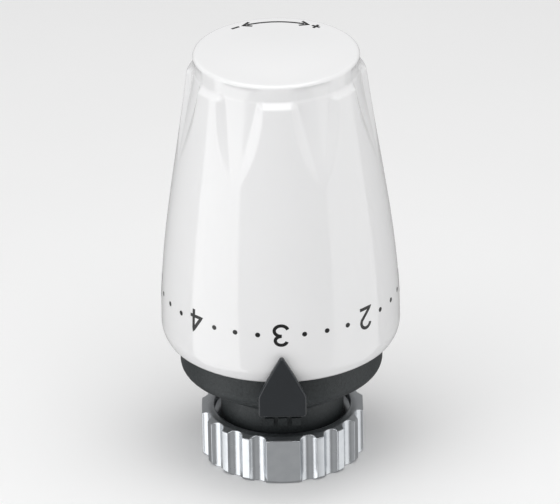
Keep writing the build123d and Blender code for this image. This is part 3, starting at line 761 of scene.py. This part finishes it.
# Depth and inset of each layer: a bevelled back edge, straight sides and a rounded front edge.
pointer_layers = [(pointer_back, 0.5), (pointer_back, 0.15), (pointer_back - 0.15, 0)]
pointer_layers += [(pointer_front + 0.45, 0), (pointer_front + 0.3, 0.03), (pointer_front + 0.06, 0.24)]
pointer_layers += [(pointer_front, 0.34), (pointer_front, 0.6)]
pointer_middle = (pointer_low.z + pointer_high.z) / 2 - 2
pointer_blade = skin(
    "pointer_blade", [[(x, y, z) for x, z in pointer_outline(inset)] for y, inset in pointer_layers],
    satin_abs, poles=((0, pointer_back, pointer_middle), (0, pointer_front, pointer_middle)),
)
foot_bevel = 0.3
foot_low = pointer_low.z
foot_outline = [
    (-foot_half, foot_low + foot_bevel), (-foot_half + foot_bevel, foot_low),
    (foot_half - foot_bevel, foot_low), (foot_half, foot_low + foot_bevel),
    (foot_half, foot_top - foot_bevel), (foot_half - foot_bevel, foot_top),
    (-foot_half + foot_bevel, foot_top), (-foot_half, foot_top - foot_bevel),
]
foot_layers = [
    [(x, y if y else -sqrt(bowl_high.x**2 - x**2) + 0.1, z) for x, z in foot_outline]
    for y in (0, -(bowl_high.x + 0.4), pointer_back - 0.2)
]
foot_middle = (foot_low + foot_top) / 2
pointer_foot = skin(
    "pointer_foot", foot_layers, satin_abs,
    poles=((0, -bowl_high.x + 0.1, foot_middle), (0, pointer_back - 0.2, foot_middle)),
)
for piece in (pointer_blade, pointer_foot):
    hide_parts("setting_pointer")
    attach(piece, "socket")

# ------------------------------------------------------------------------ union nut
_, nut_high = node_box("union_nut")
nut_top = nut_high.z
nut_r = 18.35
flat_half = nut_high.x
thread_r = 14.19
thread_depth = 0.81
thread_pitch = 1.5
crest_share = 0.16               # of the pitch
flank_share = 0.4
countersink_r = thread_r + thread_depth + 0.3
thread_top = 4.5
relief_r = 15.1
lip_z = 8.0
lip_r_nut = 13.0
lip_bevel = 0.15
mouth_z = 9.2
mouth_r = 15.25
chamfer_z = 0.7
divisions = 20                   # places for finger grooves, some of which the flats take
flats = 4
groove_r = 2.2
groove_circle_r = 19.2
grip_edge = 0.16
grip_inner_r = 16.2              # nothing nearer the axis is pressed

# The columns crowd round a groove's edges, in degrees from its middle.
groove_side = (1.6, 3.2, 4.6, 5.5, 5.9, 6.1, 6.3, 6.5, 6.9, 7.6)
division_columns = [-180 / divisions] + [-a for a in reversed(groove_side)] + [0] + list(groove_side)
nut_columns = []
for division in range(divisions):
    nut_columns += [front + 360 / divisions * division + offset for offset in division_columns]


def nut_ring(z, radius):
    return [polar(radius, angle, z) for angle in nut_columns]


def thread_ring(z):
    """A ring of the right-hand internal thread, which climbs one pitch for each turn.

    Its flanks stand wider apart than a metric thread's 60 degrees, about 73 degrees.
    """
    ring = []
    for angle in nut_columns:
        share = (z / thread_pitch - angle / 360) % 1
        # A crest of 0.16 of the pitch, a root of 0.04, and a flank of 0.4 on each side.
        groove = min(max((abs(share - 0.5) - crest_share / 2) / flank_share, 0), 1)
        radius = thread_r + thread_depth * groove
        # Both ends run out in a countersink.
        radius = max(radius, countersink_r - z)
        radius = max(radius, countersink_r - (thread_top - z) * 2)
        ring.append(polar(min(radius, relief_r), angle, z))
    return ring


# Up the outside, over the chamfers at both ends.
nut_rows = [nut_ring(z, min(nut_r, nut_r - chamfer_z + z)) for z in (0, 0.12, 0.35, 0.6, 0.75, 1.0)]
nut_rows += [nut_ring(z, nut_r) for z in spread(2.0, 9.5, 6)]
nut_rows += [
    nut_ring(z, smooth_min(nut_r, nut_r + 2 * (nut_top - chamfer_z - z), 0.12))
    for z in [nut_top - d for d in (1.2, 0.95, 0.8, 0.7, 0.6, 0.5, 0.4, 0.3, 0.2, 0.12, 0.06, 0)]
]
# In over the rounded top edge, down the mouth, over the lip and under it into the relief.
nut_rows += [nut_ring(nut_top, mouth_r + 0.25), nut_ring(nut_top - 0.08, mouth_r + 0.06)]
nut_rows += [nut_ring(nut_top - 0.3, mouth_r), nut_ring(mouth_z + lip_bevel, mouth_r)]
nut_rows += [nut_ring(mouth_z, mouth_r - lip_bevel), nut_ring(mouth_z, lip_r_nut + lip_bevel)]
nut_rows += [nut_ring(mouth_z - lip_bevel, lip_r_nut), nut_ring(lip_z + 0.1, lip_r_nut)]
nut_rows += [nut_ring(lip_z, lip_r_nut + 0.1), nut_ring(lip_z, relief_r - 0.2)]
nut_rows += [nut_ring(lip_z - 0.2, relief_r), nut_ring(thread_top + 0.1, relief_r)]
nut_rows += [thread_ring(z) for z in spread(thread_top, 0.02, 34)]
nut_rows += [nut_ring(0, thread_r + thread_depth + 0.32)]


def grip_tree():
    """Presses finger grooves and wrench flats into the outside of a round nut.

    A point's radius becomes the least of its own, its groove's wall and its flat, with soft edges.
    """
    tree = node_group(
        "nut_grip", Divisions=20, Flats=4, Groove_radius=1.0, Groove_centre=1.0, Flat_distance=1.0,
        Edge=0.1, Inner_limit=1.0, First_angle=0.0,
    )
    source = add(tree, "NodeGroupInput")

    def calc(operation, a, b=0.0, c=0.0):
        """A Math node on numbers or other nodes' results."""
        made = add(tree, "ShaderNodeMath", operation=operation)
        for index, value in enumerate((a, b, c)):
            if isinstance(value, (int, float)):
                made.inputs[index].default_value = value
            else:
                tree.links.new(value, made.inputs[index])
        return made.outputs[0]

    where = add(tree, "GeometryNodeInputPosition")
    apart = add(tree, "ShaderNodeSeparateXYZ", None, {0: (where, 0)})
    x, y, z = (apart.outputs[i] for i in range(3))
    radius = calc("SQRT", calc("ADD", calc("MULTIPLY", x, x), calc("MULTIPLY", y, y)))
    angle = calc("SUBTRACT", calc("ARCTAN2", y, x), source.outputs["First angle"])

    def nearest(count):
        """Angle from the nearest of so many places round the axis, and that place's number."""
        pitch = calc("DIVIDE", 2 * pi, count)
        number = calc("ROUND", calc("DIVIDE", angle, pitch))
        return calc("SUBTRACT", angle, calc("MULTIPLY", number, pitch)), number

    from_groove, groove_number = nearest(source.outputs["Divisions"])
    reach = calc("MULTIPLY", source.outputs["Groove centre"], calc("SINE", from_groove))
    inside_wall = calc(
        "SUBTRACT", calc("MULTIPLY", source.outputs["Groove radius"], source.outputs["Groove radius"]),
        calc("MULTIPLY", reach, reach),
    )
    wall = calc("SQRT", calc("MAXIMUM", inside_wall, 0.0))
    # Past the groove's side the wall is carried outwards steeply, so that it no longer counts.
    beyond = calc("MULTIPLY", calc("MAXIMUM", calc("MULTIPLY", inside_wall, -1.0), 0.0), 4000.0)
    centre_reach = calc("MULTIPLY", source.outputs["Groove centre"], calc("COSINE", from_groove))
    groove = calc("ADD", calc("SUBTRACT", centre_reach, wall), beyond)
    # A division that falls on a flat keeps the flat: its groove is put a metre out, clear of the nut.
    per_flat = calc("DIVIDE", source.outputs["Divisions"], source.outputs["Flats"])
    on_flat = calc("COMPARE", calc("WRAP", groove_number, per_flat, 0.0), 0.0, 0.1)
    groove = calc("ADD", groove, on_flat)
    from_flat, _ = nearest(source.outputs["Flats"])
    flat = calc("DIVIDE", source.outputs["Flat distance"], calc("COSINE", from_flat))
    least = calc("SMOOTH_MIN", radius, flat, calc("MULTIPLY", source.outputs["Edge"], 0.5))
    least = calc("SMOOTH_MIN", least, groove, source.outputs["Edge"])
    share = calc("DIVIDE", least, radius)
    moved = add(tree, "ShaderNodeCombineXYZ")
    tree.links.new(calc("MULTIPLY", x, share), moved.inputs[0])
    tree.links.new(calc("MULTIPLY", y, share), moved.inputs[1])
    tree.links.new(z, moved.inputs[2])
    outer = add(tree, "FunctionNodeCompare", data_type="FLOAT", operation="GREATER_THAN")
    tree.links.new(radius, outer.inputs[0])
    tree.links.new(source.outputs["Inner limit"], outer.inputs[1])
    pressed = add(
        tree, "GeometryNodeSetPosition", None,
        {"Geometry": (source, "Mesh"), "Selection": (outer, 0), "Position": (moved, 0)},
    )
    return finish_tree(tree, source, pressed)


union_nut = skin("union_nut_turned", nut_rows, nickel_plate)
grown(
    union_nut, grip_tree(), nickel_plate, Divisions=divisions, Flats=flats, Groove_radius=groove_r * MM,
    Groove_centre=groove_circle_r * MM, Flat_distance=flat_half * MM, Edge=grip_edge * MM,
    Inner_limit=grip_inner_r * MM, First_angle=radians(front),
)
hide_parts("union_nut")
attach(union_nut, "union_nut")

# ------------------------------------------------------------------------ overtravel spring
# Drawn wire, five turns. It is pressed towards the cup's seat as the tappet gives way.
spring_low, spring_high = node_box("overtravel_spring")
wire_r = 0.6
wire_turns = 5
wire_sides = 14
coil_air = 0.02
coil_r = spring_high.x - wire_r - coil_air
coil_low = spring_low.z + wire_r + coil_air
coil_rise = spring_high.z - wire_r - coil_air - coil_low
coil_slope = coil_rise / (wire_turns * 2 * pi * coil_r)
steps_per_turn = 48
coil_rows = []
wire_middles = []
for i in range(wire_turns * steps_per_turn + 1):
    angle = 360 * i / steps_per_turn
    outward = Vector(polar(1, angle, 0))
    along = Vector((-outward.y, outward.x, coil_slope)).normalized()
    sideways = along.cross(outward)
    middle = Vector(polar(coil_r, angle, coil_low + coil_rise * i / (wire_turns * steps_per_turn)))
    wire_middles.append(tuple(middle))
    coil_rows.append([
        tuple(middle + wire_r * (outward * cos(turn) + sideways * sin(turn)))
        for turn in [2 * pi * j / wire_sides for j in range(wire_sides)]
    ])
coil = skin("overtravel_coil", coil_rows, spring_steel, poles=(wire_middles[0], wire_middles[-1]))
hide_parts("overtravel_spring")
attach(coil, "plunger")
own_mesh(coil)

# ------------------------------------------------------------------------ bellows
# Thin hydroformed bronze, seven folds. Its foot sits on the end plate; the skin is built at rest as one
# fixed piece and does not follow the plunger.
bellows_low, bellows_high = node_box("bellows")
bellows_r = bellows_high.x - 0.05
bellows_fold = 2.5
bellows_skin = 0.5
bellows_folds = 7
bellows_air = 0.01
bellows_foot_z = bellows_low.z + bellows_air
bellows_run = bellows_high.z - bellows_air - bellows_foot_z
bellows_columns = 72
rings_per_fold = 12
fold_heights = spread(0, bellows_run, bellows_folds * rings_per_fold + 1)


def bellows_radius(height):
    """Round folds that start and end in a valley."""
    swell = (1 - cos(2 * pi * bellows_folds * height / bellows_run)) / 2
    return bellows_r - bellows_fold * (1 - swell)


def bellows_ring(height, radius):
    pitch = 360 / bellows_columns
    return [polar(radius, pitch * j, bellows_foot_z + height) for j in range(bellows_columns)]


bellows_rows = [bellows_ring(h, bellows_radius(h)) for h in fold_heights]
bellows_rows += [bellows_ring(h, bellows_radius(h) - bellows_skin) for h in reversed(fold_heights)]
bellows = skin("bellows_skin", bellows_rows, bronze)
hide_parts("bellows")
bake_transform(bellows)

# ------------------------------------------------------------------------ stage, light and camera
sheet_material = surface(
    "matt_white_paper", "#fbfbfb", "#f7f7f7", patch_mm=80, grain_mm=1.0, grain_depth_mm=0.01,
    rough=(0.8, 0.95),
)
floor_half = 3000
floor_drop = 0.02                # keeps the floor's face off the nut's foot
floor = mesh_piece(
    "studio_floor", [(x * floor_half, y * floor_half, 0) for x, y in ((-1, -1), (1, -1), (1, 1), (-1, 1))],
    [(0, 1, 2, 3)], sheet_material,
)
floor.location.z = -floor_drop * MM
floor.visible_glossy = False


def softbox(name, azimuth, elevation, distance, width, height, power, aim_z):
    """A rectangular lamp that looks at a height on the axis. Azimuth 0 is in front, 90 to the right."""
    data = bpy.data.lights.new(name, "AREA")
    data.shape = "RECTANGLE"
    data.size = width * MM
    data.size_y = height * MM
    data.energy = power
    lamp = bpy.data.objects.new(name, data)
    bpy.context.scene.collection.objects.link(lamp)
    a, e = radians(azimuth), radians(elevation)
    outward = Vector((sin(a) * cos(e), -cos(a) * cos(e), sin(e)))
    lamp.location = Vector((0, 0, aim_z * MM)) + outward * distance * MM
    lamp.rotation_mode = "QUATERNION"
    lamp.rotation_quaternion = outward.to_track_quat("Z", "Y")
    return lamp


softbox("left_softbox", -66, -12, 700, 640, 1100, 3.9, 50)
softbox("right_softbox", 78, -12, 700, 680, 1100, 2.2, 50)
softbox("top_softbox", 0, 78, 800, 900, 900, 5.8, 50)
softbox("front_fill", 0, -28, 700, 500, 400, 0.12, 5)

world = bpy.data.worlds.new("studio_white")
world.use_nodes = True
world.node_tree.nodes["Background"].inputs["Color"].default_value = linear("#ffffff")
world.node_tree.nodes["Background"].inputs["Strength"].default_value = 0.32
bpy.context.scene.world = world
bpy.context.scene.view_settings.view_transform = "Standard"

view_elevation = radians(26.55)
view_roll = radians(-1.03)
view_distance = 1400
view_target = Vector((0.07, 0, 48.55))
right = Vector((1, 0, 0))
up = Vector((0, sin(view_elevation), cos(view_elevation)))
backward = Vector((0, -cos(view_elevation), sin(view_elevation)))
camera_x = right * cos(view_roll) + up * sin(view_roll)
camera_y = -right * sin(view_roll) + up * cos(view_roll)
place = (view_target + backward * view_distance) * MM
camera_data = bpy.data.cameras.new("camera")
camera_data.sensor_width = 36
camera_data.lens = 407
camera_data.clip_end = 20
camera = bpy.data.objects.new("camera", camera_data)
bpy.context.scene.collection.objects.link(camera)
camera.matrix_world = Matrix((
    (camera_x.x, camera_y.x, backward.x, place.x),
    (camera_x.y, camera_y.y, backward.y, place.y),
    (camera_x.z, camera_y.z, backward.z, place.z),
    (0, 0, 0, 1),
))
bpy.context.scene.camera = camera
